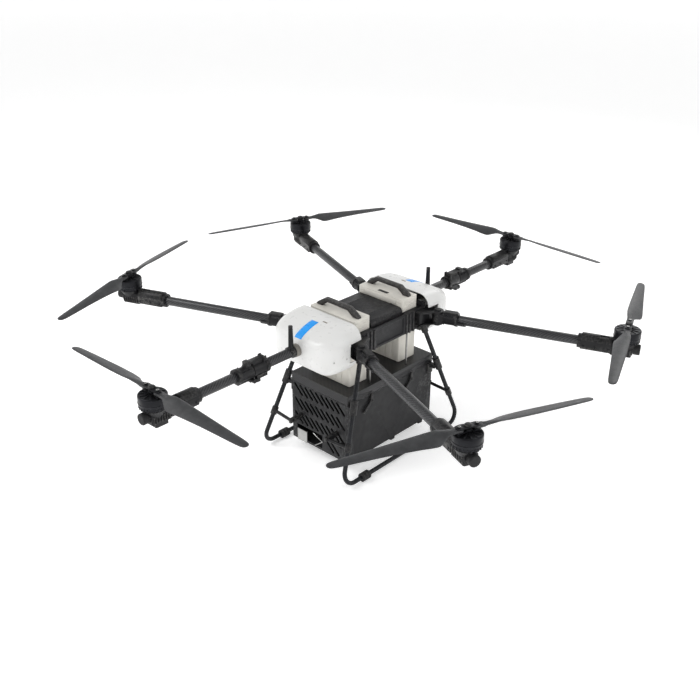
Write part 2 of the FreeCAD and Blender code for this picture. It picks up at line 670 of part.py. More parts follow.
def latch_lever(side, y):
    """Cam lever on the case wall, its tail slanting down towards the nose."""
    x0 = side * (CASE_HALF_X + 5.5)
    x1 = side * (CASE_HALF_X + 13.5)
    disc = bar_x(12, x0, x1, y, LATCH_Z)
    tail_end = vec(0, -52, -48)
    across = vec(0, -48, 52).normalize() * 7
    pivot = vec(x0, y, LATCH_Z)
    corners = [pivot + across, pivot + tail_end + across, pivot + tail_end - across, pivot - across]
    tail = Part.Face(Part.makePolygon(corners + corners[:1])).extrude(vec(x1 - x0, 0, 0))
    beak = block(min(x0, x1), max(x0, x1), y - 7, y + 7, LATCH_Z, LATCH_Z + 34)
    lever = union([disc, tail, beak])
    return lever.cut(bar_x(4 + RUN_FIT, side * CASE_HALF_X, side * (CASE_HALF_X + 20), y, LATCH_Z))


def latch_seat(side, y):
    """Round boss and pivot pin that carry one cam lever."""
    wall = side * CASE_HALF_X
    boss = bar_x(15, wall, side * (CASE_HALF_X + 5), y, LATCH_Z)
    return boss.fuse(bar_x(4, wall, side * (CASE_HALF_X + 16), y, LATCH_Z))


def lid_catch(side, y):
    x0, x1 = sorted((side * CASE_HALF_X, side * (CASE_HALF_X + 5)))
    return block(x0, x1, y - 12, y + 12, CASE_SPLIT + 2, CASE_SPLIT + 16)


def build_case():
    seats = [latch_seat(side, y) for side in (-1, 1) for y in LATCH_Y]
    catches = [lid_catch(side, y) for side in (-1, 1) for y in LATCH_Y]
    add("case_tub", union([case_tub()] + seats))
    add("case_lid", union([case_lid()] + catches))
    add("case_panel_front", vent_panel(True))
    rear = vent_panel(False).mirror(vec(0, 0, 0), vec(0, 1, 0))
    add("case_panel_rear", rear)
    for side, side_name in ((1, "left"), (-1, "right")):
        for y, end_name in zip(LATCH_Y, ("front", "rear")):
            add("case_latch_" + end_name + "_" + side_name, latch_lever(side, y))


build_frame()
build_covers()
build_centre_roots()
build_arms()
build_batteries()
build_landing_gear()
build_case()

os.makedirs("parts", exist_ok=True)
for node_name, node_shape in NODES.items():
    node_shape.exportStep("parts/" + node_name + ".step")
    checks = [solid.isValid() and solid.isClosed() for solid in node_shape.Solids]
    print(node_name, len(checks), "solids, valid:", all(checks))
print(len(NODES), "nodes")
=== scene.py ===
import json
import math

import bmesh
import bpy
from mathutils import Matrix, Vector


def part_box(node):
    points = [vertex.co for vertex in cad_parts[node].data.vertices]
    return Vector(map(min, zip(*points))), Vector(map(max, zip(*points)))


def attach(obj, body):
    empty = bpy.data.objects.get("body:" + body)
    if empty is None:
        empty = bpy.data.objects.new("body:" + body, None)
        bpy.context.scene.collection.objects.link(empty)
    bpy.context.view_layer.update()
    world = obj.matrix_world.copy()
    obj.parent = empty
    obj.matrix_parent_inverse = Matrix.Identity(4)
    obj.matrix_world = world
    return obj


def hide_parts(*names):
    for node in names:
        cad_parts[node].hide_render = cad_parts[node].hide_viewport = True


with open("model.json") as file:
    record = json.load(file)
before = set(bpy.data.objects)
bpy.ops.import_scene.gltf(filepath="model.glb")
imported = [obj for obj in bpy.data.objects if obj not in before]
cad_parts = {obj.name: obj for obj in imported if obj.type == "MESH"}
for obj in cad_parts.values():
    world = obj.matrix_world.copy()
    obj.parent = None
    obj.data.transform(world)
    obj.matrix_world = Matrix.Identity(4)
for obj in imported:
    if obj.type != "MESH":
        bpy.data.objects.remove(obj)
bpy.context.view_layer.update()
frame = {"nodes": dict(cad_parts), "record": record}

NODES = frame["nodes"]
JOINTS = {joint["name"]: joint for joint in frame["record"]["behaviour"]["joints"]}

HUB_Z = JOINTS["fold_blade_front_a"]["pos_m"][2]
ARM_Z = JOINTS["fold_arm_front_left"]["pos_m"][2]
TUBE_R = 0.02175
TUBE_MIN_LENGTH = 0.40
ENDS = (("front", -1), ("rear", 1))
ARMS = ("front", "front_left", "rear_left", "rear", "rear_right", "front_right")


# ---- places read from the frame ------------------------------------------------------------------
def motor_axis(arm):
    """Point on a rotor's axis, and the outboard direction of its arm."""
    x, y = JOINTS["spin_" + arm]["pos_m"][:2]
    hinge = JOINTS["fold_arm_" + arm]["pos_m"]
    out = Vector((x - hinge[0], y - hinge[1], 0)).normalized()
    return Vector((x, y, 0)), out


def arm_matrix(arm):
    """Frame at a motor's foot: +X runs outboard along the arm, +Z up."""
    at, out = motor_axis(arm)
    turn = Matrix.Rotation(math.atan2(out.y, out.x), 4, "Z")
    return Matrix.Translation(at) @ turn


def spin_sense(arm):
    """1 for a rotor that spins anticlockwise seen from above, -1 for the other way."""
    return 1 if JOINTS["spin_" + arm]["axis"][2] > 0 else -1


def span(sign, near, far):
    """Two distances from a middle plane as low and high on one side of it."""
    return sorted((sign * near, sign * far))


def place_object(name, data):
    thing = bpy.data.objects.new(name, data)
    bpy.context.scene.collection.objects.link(thing)
    return thing


# ---- node-tree helper ----------------------------------------------------------------------------
class Shader:
    """A material with a Principled shader and short calls for its nodes."""

    def __init__(self, name, color, rough, metal=0.0):
        self.material = bpy.data.materials.new(name)
        self.material.use_nodes = True
        self.tree = self.material.node_tree
        self.tree.nodes.clear()
        out = self.add("ShaderNodeOutputMaterial")
        self.bsdf = self.add("ShaderNodeBsdfPrincipled")
        self.bsdf.inputs["Base Color"].default_value = (*color, 1)
        self.bsdf.inputs["Roughness"].default_value = rough
        self.bsdf.inputs["Metallic"].default_value = metal
        self.link(self.bsdf.outputs[0], out.inputs[0])
        self.place = self.add("ShaderNodeTexCoord").outputs["Object"]

    def add(self, kind, **settings):
        node = self.tree.nodes.new(kind)
        for key, value in settings.items():
            setattr(node, key, value)
        return node

    def link(self, source, target):
        self.tree.links.new(source, target)

    def feed(self, socket, value):
        if isinstance(value, (int, float, tuple)):
            socket.default_value = value
        else:
            self.link(value, socket)

    def math(self, operation, a, b=0.0):
        node = self.add("ShaderNodeMath", operation=operation)
        for socket, value in zip(node.inputs, (a, b)):
            self.feed(socket, value)
        return node.outputs[0]

    def vector(self, operation, a, b):
        node = self.add("ShaderNodeVectorMath", operation=operation)
        self.feed(node.inputs[0], a)
        self.feed(node.inputs[1], b)
        return node.outputs["Value"] if operation == "DOT_PRODUCT" else node.outputs[0]

    def split(self, vector):
        node = self.add("ShaderNodeSeparateXYZ")
        self.link(vector, node.inputs[0])
        return node.outputs

    def noise(self, scale, detail=3.0, rough=0.5, at=None):
        node = self.add("ShaderNodeTexNoise")
        node.inputs["Scale"].default_value = scale
        node.inputs["Detail"].default_value = detail
        node.inputs["Roughness"].default_value = rough
        self.link(at or self.place, node.inputs["Vector"])
        return node.outputs[0]

    def ramp(self, value, low, high, out_low=0.0, out_high=1.0):
        node = self.add("ShaderNodeMapRange")
        for index, number in enumerate((low, high, out_low, out_high), start=1):
            node.inputs[index].default_value = number
        self.link(value, node.inputs[0])
        return node.outputs[0]

    def mix(self, factor, first, second):
        node = self.add("ShaderNodeMix", data_type="RGBA")
        self.feed(node.inputs[0], factor)
        for socket, value in ((node.inputs[6], first), (node.inputs[7], second)):
            if isinstance(value, tuple):
                socket.default_value = (*value, 1)
            else:
                self.link(value, socket)
        return node.outputs[2]

    def specular(self, level):
        self.bsdf.inputs["Specular IOR Level"].default_value = level

    def color(self, value):
        self.link(value, self.bsdf.inputs["Base Color"])

    def rough(self, value):
        self.link(value, self.bsdf.inputs["Roughness"])

    def bump(self, height, distance, strength=1.0):
        node = self.add("ShaderNodeBump")
        node.inputs["Strength"].default_value = strength
        node.inputs["Distance"].default_value = distance
        self.link(height, node.inputs["Height"])
        self.link(node.outputs[0], self.bsdf.inputs["Normal"])

    def edges(self):
        """Bright where the surface is a worn outside edge."""
        node = self.add("ShaderNodeNewGeometry")
        return self.ramp(node.outputs["Pointiness"], 0.52, 0.60)


# ---- materials -----------------------------------------------------------------------------------
def moulded(name, color, rough=0.5, grain=0.00012, worn=0.25, dust=(0.30, 0.29, 0.27)):
    """Moulded plastic: fine grain, soft colour drift and paler worn edges."""
    s = Shader(name, color, rough)
    s.specular(0.25)
    drift = s.noise(9.0, 4)
    lighter = tuple(min(1.0, channel * 1.25 + 0.006) for channel in color)
    base = s.mix(s.ramp(drift, 0.35, 0.7), color, lighter)
    scuffed = s.math("MULTIPLY", s.edges(), s.ramp(s.noise(120.0, 2), 0.4, 0.65, 0, worn))
    s.color(s.mix(scuffed, base, dust))
    s.rough(s.ramp(s.noise(60.0, 3), 0.3, 0.75, rough - 0.07, rough + 0.1))
    s.bump(s.noise(2600.0, 2), grain)
    return s.material


def gloss_white():
    """Painted shell: nearly even white, a little rougher in places."""
    s = Shader("white_shell", (0.75, 0.75, 0.735), 0.3)
    drift = s.ramp(s.noise(6.0, 3), 0.35, 0.7)
    s.color(s.mix(drift, (0.74, 0.74, 0.725), (0.77, 0.77, 0.76)))
    s.rough(s.ramp(s.noise(45.0, 3), 0.3, 0.7, 0.26, 0.34))
    s.bump(s.noise(28.0, 2), 0.00012)
    return s.material


def twill(s, u, v, tow):
    """Two-over-two weave of tows: which way each cell runs, and its height."""
    row = s.math("FLOOR", s.math("DIVIDE", u, tow))
    column = s.math("FLOOR", s.math("DIVIDE", v, tow))
    step = s.math("FLOORED_MODULO", s.math("ADD", row, column), 4.0)
    over = s.math("LESS_THAN", step, 1.5)
    across_u = s.math("FRACT", s.math("DIVIDE", u, tow))
    across_v = s.math("FRACT", s.math("DIVIDE", v, tow))
    across = s.add("ShaderNodeMix", data_type="FLOAT")
    s.link(over, across.inputs[0])
    s.link(across_v, across.inputs[2])
    s.link(across_u, across.inputs[3])
    height = s.math("SINE", s.math("MULTIPLY", across.outputs[0], math.pi))
    return over, height


def carbon_tube(name, origin, out):
    """Woven carbon around a tube whose axis passes through origin along out."""
    tow, slant = 0.0040, 0.32
    s = Shader(name, (0.05, 0.05, 0.053), 0.34)
    side = Vector((-out.y, out.x, 0))
    local = s.vector("SUBTRACT", s.place, tuple(origin))
    along = s.vector("DOT_PRODUCT", local, tuple(out))
    lateral = s.vector("DOT_PRODUCT", local, tuple(side))
    up = s.split(local)[2]
    around = s.math("MULTIPLY", s.math("ARCTAN2", up, lateral), TUBE_R)
    slanted = s.math("ADD", along, s.math("MULTIPLY", around, slant))
    over, height = twill(s, slanted, around, tow)
    tone = s.mix(over, (0.008, 0.008, 0.009), (0.058, 0.059, 0.062))
    streak = s.ramp(s.noise(340.0, 3), 0.35, 0.7)
    s.color(s.mix(streak, tone, (0.025, 0.025, 0.028)))
    s.rough(s.ramp(height, 0, 1, 0.42, 0.27))
    s.bump(height, 0.0003, 0.7)
    s.specular(0.35)
    s.bsdf.inputs["Coat Weight"].default_value = 0.12
    s.bsdf.inputs["Coat Roughness"].default_value = 0.18
    return s.material


def carbon_sheet(name, color=(0.022, 0.022, 0.024), tow=0.006, contrast=1.9, relief=0.0003):
    """Woven laminate seen flat, projected along whichever way a face looks."""
    s = Shader(name, color, 0.4)
    x, y, z = s.split(s.place)
    u = s.math("ADD", x, z)
    v = s.math("ADD", y, z)
    over, height = twill(s, u, v, tow)
    paler = tuple(channel * contrast + 0.002 for channel in color)
    s.color(s.mix(over, color, paler))
    s.rough(s.ramp(height, 0, 1, 0.5, 0.34))
    s.bump(height, relief, 0.6)
    s.specular(0.35)
    return s.material


def propeller():
    """Fibre-filled nylon with faint flow lines."""
    s = Shader("prop_nylon", (0.042, 0.043, 0.046), 0.42)
    s.specular(0.4)
    flow = s.noise(26.0, 4, 0.6)
    s.color(s.mix(s.ramp(flow, 0.35, 0.7), (0.030, 0.031, 0.033), (0.048, 0.049, 0.052)))
    s.rough(s.ramp(s.noise(150.0, 3), 0.3, 0.7, 0.34, 0.5))
    s.bump(s.noise(900.0, 2), 0.00008)
    return s.material


def anodised(name, color, rough=0.36):
    """Turned and anodised metal: fine rings along Z, brighter worn edges."""
    ring_pitch = 5200.0
    s = Shader(name, color, rough, 0.75)
    brighter = tuple(channel * 2.2 + 0.02 for channel in color)
    worn = s.math("MULTIPLY", s.edges(), s.ramp(s.noise(200.0, 2), 0.35, 0.6))
    s.color(s.mix(worn, color, brighter))
    rings = s.math("SINE", s.math("MULTIPLY", s.split(s.place)[2], ring_pitch))
    s.rough(s.ramp(s.noise(80.0, 3), 0.3, 0.7, rough - 0.08, rough + 0.08))
    s.bump(rings, 0.00003, 0.5)
    return s.material


def powder_coat(name, color, rough=0.55, speck=850.0):
    """Speckled coating with slow colour drift and grey chips along its edges."""
    s = Shader(name, color, rough)
    s.specular(0.25)
    drift = s.ramp(s.noise(4.0, 4), 0.3, 0.75)
    paler = tuple(channel * 1.3 + 0.004 for channel in color)
    base = s.mix(drift, color, paler)
    chips = s.math("MULTIPLY", s.edges(), s.ramp(s.noise(70.0, 3), 0.5, 0.62, 0, 0.5))
    s.color(s.mix(chips, base, (0.16, 0.16, 0.16)))
    s.rough(s.ramp(s.noise(35.0, 3), 0.3, 0.7, rough - 0.08, rough + 0.08))
    s.bump(s.noise(speck, 2), 0.00018)
    return s.material


def metal(name, color, rough):
    """Bare metal with scratches drawn across Z."""
    s = Shader(name, color, rough, 1.0)
    stretched = s.add("ShaderNodeMapping")
    stretched.inputs["Scale"].default_value = (30, 30, 900)
    s.link(s.place, stretched.inputs[0])
    scratches = s.noise(3.0, 4, 0.6, stretched.outputs[0])
    s.rough(s.ramp(scratches, 0.3, 0.7, rough - 0.1, rough + 0.12))
    s.color(s.mix(s.ramp(s.noise(40.0, 3), 0.3, 0.7), color, tuple(c * 0.75 for c in color)))
    s.bump(scratches, 0.00003)
    return s.material


MATERIALS = {made.name.split(".")[0]: made for made in (
    gloss_white(),
    moulded("black_plastic", (0.010, 0.010, 0.0115), 0.46),
    moulded("joint_plastic", (0.0055, 0.0055, 0.0065), 0.38),
    propeller(),
    anodised("motor_metal", (0.012, 0.0125, 0.015)),
    moulded("battery_shell", (0.60, 0.58, 0.53), 0.42, 0.00006, 0.1, (0.68, 0.67, 0.64)),
    powder_coat("case_sheet", (0.014, 0.014, 0.015)),
    carbon_sheet("case_lid", (0.012, 0.012, 0.013), 0.006, 1.35, 0.0001),
    powder_coat("leg_tube", (0.005, 0.006, 0.008), 0.36, 1500.0),
    moulded("rubber_grip", (0.015, 0.015, 0.016), 0.62, 0.0003),
    metal("rod_grey", (0.34, 0.34, 0.33), 0.4),
    metal("steel_pin", (0.55, 0.55, 0.54), 0.3),
    moulded("circuit", (0.02, 0.06, 0.035), 0.4),
    carbon_sheet("carbon_plate"),
    moulded("blue_vinyl", (0.026, 0.315, 0.86), 0.3, 0.00003, 0.0),
    moulded("grey_label", (0.42, 0.42, 0.41), 0.5, 0.00012),
    moulded("collar_grey", (0.19, 0.18, 0.16), 0.55, 0.0001),
    # Dark brown slab colour: painted shade standing in for a slot recess on each cover.
    moulded("port_brown", (0.16, 0.13, 0.10), 0.5, 0.0001),
    moulded("handle_black", (0.022, 0.021, 0.021), 0.5, 0.0001),
)}


def paint(thing, material):
    """Put one material on every slot of an object."""
    thing.data.materials.clear()
    thing.data.materials.append(material)


# ---- camera, floor and light ---------------------------------------------------------------------
def add_camera():
    """The photograph's view: from the front left, above the propellers."""
    away = Vector((2.6002, -2.8738, 1.6982))
    data = bpy.data.cameras.new("camera")
    data.lens = 47.11
    data.sensor_width = 36.0
    data.clip_end = 60
    camera = place_object("camera", data)
    right = Vector((0.72831, 0.68523, 0.00558)).normalized()
    back = Vector((0.60933, -0.65132, 0.45222)).normalized()
    up = back.cross(right)
    turn = Matrix((right, up, back)).transposed().to_4x4()
    camera.matrix_world = Matrix.Translation((away.x, away.y, away.z + HUB_Z)) @ turn
    bpy.context.scene.camera = camera


def add_floor():
    """Paper floor that curves up far away, as on a studio sweep."""
    profile = ((0.01, 0), (24.0, 0), (26.5, 0.5), (28.5, 2.0), (29.7, 4.5), (30.0, 8.0), (30.0, 14.0))
    segments = 64
    paper, paler, glow = (0.96, 0.96, 0.96), (0.975, 0.975, 0.975), 0.38
    corners, faces = [], []
    for reach, z in profile:
        for k in range(segments):
            angle = 2 * math.pi * k / segments
            corners.append((reach * math.cos(angle), reach * math.sin(angle), z))
    for row in range(len(profile) - 1):
        for k in range(segments):
            here, after = row * segments + k, row * segments + (k + 1) % segments
            faces.append((here, after, after + segments, here + segments))
    faces.append(tuple(range(segments)))
    mesh = bpy.data.meshes.new("floor")
    mesh.from_pydata(corners, [], faces)
    mesh.polygons.foreach_set("use_smooth", [True] * len(faces))
    floor = place_object("floor", mesh)
    s = Shader("floor_paper", paper, 0.9)
    s.color(s.mix(s.ramp(s.noise(2.0, 3), 0.3, 0.7), paper, paler))
    s.bsdf.inputs["Emission Color"].default_value = (1, 1, 1, 1)
    s.bsdf.inputs["Emission Strength"].default_value = glow
    paint(floor, s.material)


def add_area_light(name, at, watts):
    """A large round lamp turned towards the drone's body."""
    body = Vector((0, 0, 0.45))
    data = bpy.data.lights.new(name, "AREA")
    data.shape = "DISK"
    data.size = 3.0
    data.energy = watts
    light = place_object(name, data)
    light.location = at
    light.rotation_euler = (body - Vector(at)).to_track_quat("-Z", "Y").to_euler()


def add_light():
    world = bpy.data.worlds.new("studio")
    world.use_nodes = True
    background = world.node_tree.nodes["Background"]
    background.inputs[0].default_value = (1.0, 1.0, 1.0, 1)
    background.inputs[1].default_value = 0.44
    bpy.context.scene.world = world
    add_area_light("key_light", (-2.5, -3.5, 5.0), 150)
    add_area_light("fill_light", (4.5, 0.5, 3.5), 45)
    add_area_light("back_light", (-1.0, 5.0, 4.0), 55)


# ---- mesh helpers --------------------------------------------------------------------------------
def finish_piece(thing, body, material, slot=None):
    """Give a new piece its material and its body; the slot argument is not used."""
    paint(thing, material)
    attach(thing, body)
    slot or material.name.split(".")[0]
    return thing


def from_bmesh(name, bm, matrix=None, smooth_angle=40):
    """An object made from a bmesh, which is used up."""
    mesh = bpy.data.meshes.new(name)
    bmesh.ops.recalc_face_normals(bm, faces=bm.faces)
    bm.to_mesh(mesh)
    bm.free()
    if matrix is not None:
        mesh.transform(matrix)
    thing = place_object(name, mesh)
    soften(thing, smooth_angle)
    return thing


def soften(thing, degrees):
    """Smooth shading with sharp edges kept above an angle."""
    mesh = thing.data
    mesh.polygons.foreach_set("use_smooth", [True] * len(mesh.polygons))
    mesh.set_sharp_from_angle(angle=math.radians(degrees))


def evaluated_mesh(thing):
    """The shape of an object with its modifiers or its curve's bevel applied."""
    bpy.context.view_layer.update()
    graph = bpy.context.evaluated_depsgraph_get()
    return bpy.data.meshes.new_from_object(thing.evaluated_get(graph))


def apply_modifiers(thing):
    mesh = evaluated_mesh(thing)
    thing.modifiers.clear()
    thing.data = mesh


def add_bevel(thing, width):
    """Round every edge sharper than 35 degrees."""
    bevel = thing.modifiers.new("bevel", "BEVEL")
    bevel.width = width
    bevel.segments = 2
    bevel.limit_method = "ANGLE"
    bevel.angle_limit = math.radians(35)
    bevel.use_clamp_overlap = True
    bevel.miter_outer = "MITER_ARC"
    apply_modifiers(thing)
    soften(thing, 50)


def islands(bm):
    """The separate solids of a mesh, as lists of faces, always in the same order."""
    seen = set()
    found = []
    for start in bm.faces:
        if start in seen:
            continue
        seen.add(start)
        group, todo = [start], [start]
        while todo:
            for edge in todo.pop().edges:
                for other in edge.link_faces:
                    if other not in seen:
                        seen.add(other)
                        group.append(other)
                        todo.append(other)
        found.append(group)
    return found


def bridge(bm, rings):
    """Four-sided faces between each closed ring of points and the next."""
    for first, second in zip(rings, rings[1:]):
        for k in range(len(first)):
            after = (k + 1) % len(first)
            bm.faces.new((first[k], first[after], second[after], second[k]))


def tangled(mesh):
    """True when a many-sided face folds over itself once it is split into triangles."""
    slack = 1.002
    mesh.calc_loop_triangles()
    covered = {}
    for triangle in mesh.loop_triangles:
        index = triangle.polygon_index
        covered[index] = covered.get(index, 0.0) + triangle.area
    wide = [face for face in mesh.polygons if len(face.vertices) > 4]
    return any(covered[face.index] > face.area * slack + 1e-9 for face in wide)


def eased_copy(node, width, flat, keep, name):
    """Copy of a CAD node's wanted solids, with its edges rounded and, if asked, its flat faces merged."""
    bm = bmesh.new()
    bm.from_mesh(NODES[node].data)
    bmesh.ops.remove_doubles(bm, verts=bm.verts, dist=2e-5)
    if keep is not None:
        for group in islands(bm):
            spots = [vert.co for face in group for vert in face.verts]
            low = Vector([min(spot[axis] for spot in spots) for axis in range(3)])
            high = Vector([max(spot[axis] for spot in spots) for axis in range(3)])
            if not keep(low, high):
                bmesh.ops.delete(bm, geom=group, context="FACES")
    if flat:
        bmesh.ops.dissolve_limit(bm, angle_limit=math.radians(0.6), verts=bm.verts, edges=bm.edges)
    thing = from_bmesh(name, bm)
    if width:
        add_bevel(thing, width)
    else:
        soften(thing, 35)
    return thing


def eased(node, width, keep=None, name=None):
    """A copy of a CAD node with rounded edges, which takes the node's place.

    Merging or rounding can fold a face over itself, so there are two plainer ways to fall back on.
    """
    for flat, bevel in ((True, width), (False, width), (False, 0.0)):
        thing = eased_copy(node, bevel, flat, keep, name or node + "_eased")
        if not tangled(thing.data):
            break
        if bevel:
            bpy.data.objects.remove(thing)
    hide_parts(node)
    return thing


def lathe(name, profile, matrix, segments=48):
    """A turned piece: (radius, height) points spun about the local Z axis."""
    bm = bmesh.new()
    rings = []
    for radius, height in profile:
        ring = []
        for step in range(segments):
            angle = 2 * math.pi * step / segments
            ring.append(bm.verts.new((radius * math.cos(angle), radius * math.sin(angle), height)))
        rings.append(ring)
    bridge(bm, rings)
    bm.faces.new(list(reversed(rings[0])))
    bm.faces.new(rings[-1])
    return from_bmesh(name, bm, matrix)


def slab(name, low, high, matrix=None, bevel=0.0012, taper=0.0):
    """A block with broken edges, its top drawn in by the taper."""
    bm = bmesh.new()
    corners = []
    for z, inset in ((low[2], 0.0), (high[2], taper)):
        for x, y in ((low[0] + inset, low[1] + inset), (high[0] - inset, low[1] + inset),
                     (high[0] - inset, high[1] - inset), (low[0] + inset, high[1] - inset)):
            corners.append(bm.verts.new((x, y, z)))
    for face in ((3, 2, 1, 0), (4, 5, 6, 7), (0, 1, 5, 4), (1, 2, 6, 5), (2, 3, 7, 6), (3, 0, 4, 7)):
        bm.faces.new([corners[index] for index in face])
    thing = from_bmesh(name, bm, matrix)
    add_bevel(thing, bevel)
    return thing


def joined(name, things):
    """Several meshes as one piece."""
    bm = bmesh.new()
    for thing in things:
        mesh = thing.data
        mesh.transform(thing.matrix_world)
        bm.from_mesh(mesh)
        bpy.data.objects.remove(thing)
    return from_bmesh(name, bm)


def hex_bolt(name, at, normal, size, height):
    """Socket-head screw: a domed rim around a hexagonal recess."""
    sides = 24
    bm = bmesh.new()
    rings = []
    for radius, level in ((1.0, 0.0), (1.0, 0.75), (0.86, 1.0), (0.55, 1.0)):
        rings.append([
            bm.verts.new((size * radius * math.cos(2 * math.pi * k / sides),
                          size * radius * math.sin(2 * math.pi * k / sides), height * level))
            for k in range(sides)
        ])
    socket = []
    for k in range(sides):
        share = (k % 4) / 4.0
        a = math.radians(60 * (k // 4))
        b = a + math.radians(60)
        x = math.cos(a) * (1 - share) + math.cos(b) * share
        y = math.sin(a) * (1 - share) + math.sin(b) * share
        socket.append(bm.verts.new((0.52 * size * x, 0.52 * size * y, height * 0.98)))
    floor = [bm.verts.new((v.co.x * 0.97, v.co.y * 0.97, height * 0.35)) for v in socket]
    bridge(bm, rings + [socket, floor])
    bm.faces.new(floor)
    turn = Vector(normal).normalized().to_track_quat("Z", "Y").to_matrix().to_4x4()
    thing = from_bmesh(name, bm, Matrix.Translation(Vector(at)) @ turn)
    soften(thing, 32)
    return thing


def bolts(name, spots, body, material, size, height):
    """One piece holding a set of like screws, each an (at, normal) pair."""
    made = [hex_bolt(name + str(k), at, normal, size, height) for k, (at, normal) in enumerate(spots)]
    return finish_piece(joined(name, made), body, material)


def wire(name, points, radius, matrix):
    """A round lead through given points, smoothed as one curve."""
    curve = bpy.data.curves.new(name, "CURVE")
    curve.dimensions = "3D"
    curve.bevel_depth = radius
    curve.bevel_resolution = 3
    curve.resolution_u = 6
    curve.use_fill_caps = True
    spline = curve.splines.new("NURBS")
    spline.points.add(len(points) - 1)
    for point, co in zip(spline.points, points):
        point.co = (*co, 1)
    spline.use_endpoint_u = True
    spline.order_u = 3
    line = place_object(name, curve)
    mesh = evaluated_mesh(line)
    bpy.data.objects.remove(line)
    mesh.transform(matrix)
    solid = place_object(name, mesh)
    soften(solid, 60)
    return solid


bpy.context.scene.view_settings.view_transform = "Standard"
add_camera()
add_floor()
add_light()

SLOT = {entry["node"]: entry["material_slot"] for entry in frame["record"]["subparts"]}
BODY = {node: body for body, nodes in frame["record"]["behaviour"]["bodies"].items() for node in nodes}
for node, thing in NODES.items():
    if SLOT[node] in MATERIALS:
        paint(thing, MATERIALS[SLOT[node]])


# ---- arms ----------------------------------------------------------------------------------------
def is_tube(low, high):
    """Only the tube is long; clamps, caps and motors are short."""
    return (high - low).xy.length > TUBE_MIN_LENGTH


def not_tube(low, high):
    return not is_tube(low, high)


# Distances along an arm, from the motor's axis towards the frame.
ARM_CLAMP_SCREWS = {True: (-0.461, -0.435), False: (-0.805, -0.785)}
MOUNT_SCREWS = (-0.176, -0.126, -0.070)
FINS, RIBS = 24, 12


def dress_arm(arm):
    """Woven tube and clamp of one arm; returns the tube's material."""
    body = "outer_arm_" + arm
    at, out = motor_axis(arm)
    tube_material = carbon_tube("carbon_tube_" + arm, (at.x, at.y, ARM_Z), out)
    tube_piece = eased("arm_" + arm, 0.0004, is_tube, "arm_tube_" + arm)
    finish_piece(tube_piece, body, tube_material, "carbon_tube")
    clamp = eased("arm_" + arm, 0.0022, not_tube, "arm_clamp_" + arm)
    finish_piece(clamp, body, MATERIALS["joint_plastic"], "black_plastic")
    place = arm_matrix(arm)
    turn = place.to_3x3()
    spots = []
    for x in ARM_CLAMP_SCREWS[arm in ("front", "rear")]:
        for side in (-1, 1):
            normal = Vector((0, side * 0.72, 0.70))
            spot = Vector((x, 0, ARM_Z)) + normal * 0.0295
            spots.append((place @ spot, turn @ normal))
    bolts("arm_clamp_screws_" + arm, spots, body, MATERIALS["motor_metal"], 0.0042, 0.004)
    return tube_material


def dress_motor_mount(arm):
    """Housing, end cap and motor base of one arm, with screws, fins and leads."""
    node, body = "motor_mount_" + arm, "outer_arm_" + arm
    place = arm_matrix(arm)
    back = place.inverted()
    turn = place.to_3x3()
    centre = place.translation

    def is_stator(low, high):
        middle = (low + high) / 2
        return (middle.xy - centre.xy).length < 0.01 and low.z > ARM_Z + 0.02

    def is_cap(low, high):
        return (back @ ((low + high) / 2)).x > 0.03

    def is_housing(low, high):
        return not is_stator(low, high) and not is_cap(low, high)

    housing = eased(node, 0.0024, is_housing, "mount_housing_" + arm)
    finish_piece(housing, body, MATERIALS["joint_plastic"], "black_plastic")
    cap = eased(node, 0.0015, is_cap, "arm_end_cap_" + arm)
    finish_piece(cap, body, MATERIALS["rubber_grip"])
    base = eased(node, 0.0008, is_stator, "motor_base_" + arm)
    finish_piece(base, body, MATERIALS["motor_metal"])
    spots = []
    for x in MOUNT_SCREWS:
        for side in (-1, 1):
            spots.append((place @ Vector((x, side * 0.0305, ARM_Z - 0.012)), turn @ Vector((0, side, 0))))
    bolts("mount_screws_" + arm, spots, body, MATERIALS["motor_metal"], 0.0040, 0.0035)
    fins = []
    low, high = (0.0525, -0.0014, HUB_Z - 0.0715), (0.0575, 0.0014, HUB_Z - 0.0585)
    for step in range(FINS):
        spin = place @ Matrix.Rotation(2 * math.pi * step / FINS, 4, "Z")
        fins.append(slab("fin%d" % step, low, high, spin, 0.0005))
    finish_piece(joined("motor_base_fins_" + arm, fins), body, MATERIALS["motor_metal"])
    low, high = (-0.109, -0.0165, ARM_Z + 0.0270), (-0.075, 0.0165, ARM_Z + 0.0288)
    pocket = slab("mount_pocket_" + arm, low, high, place, 0.0006)
    finish_piece(pocket, body, MATERIALS["rubber_grip"])
    leads = []
    for side in (-1, 0, 1):
        run = ((-0.050, side * 0.009, HUB_Z - 0.068), (-0.062, side * 0.009, HUB_Z - 0.070),
               (-0.070, side * 0.008, ARM_Z + 0.030), (-0.078, side * 0.007, ARM_Z + 0.024))
        leads.append(wire("lead%d" % side, run, 0.0028, place))
    finish_piece(joined("motor_leads_" + arm, leads), body, MATERIALS["rubber_grip"])


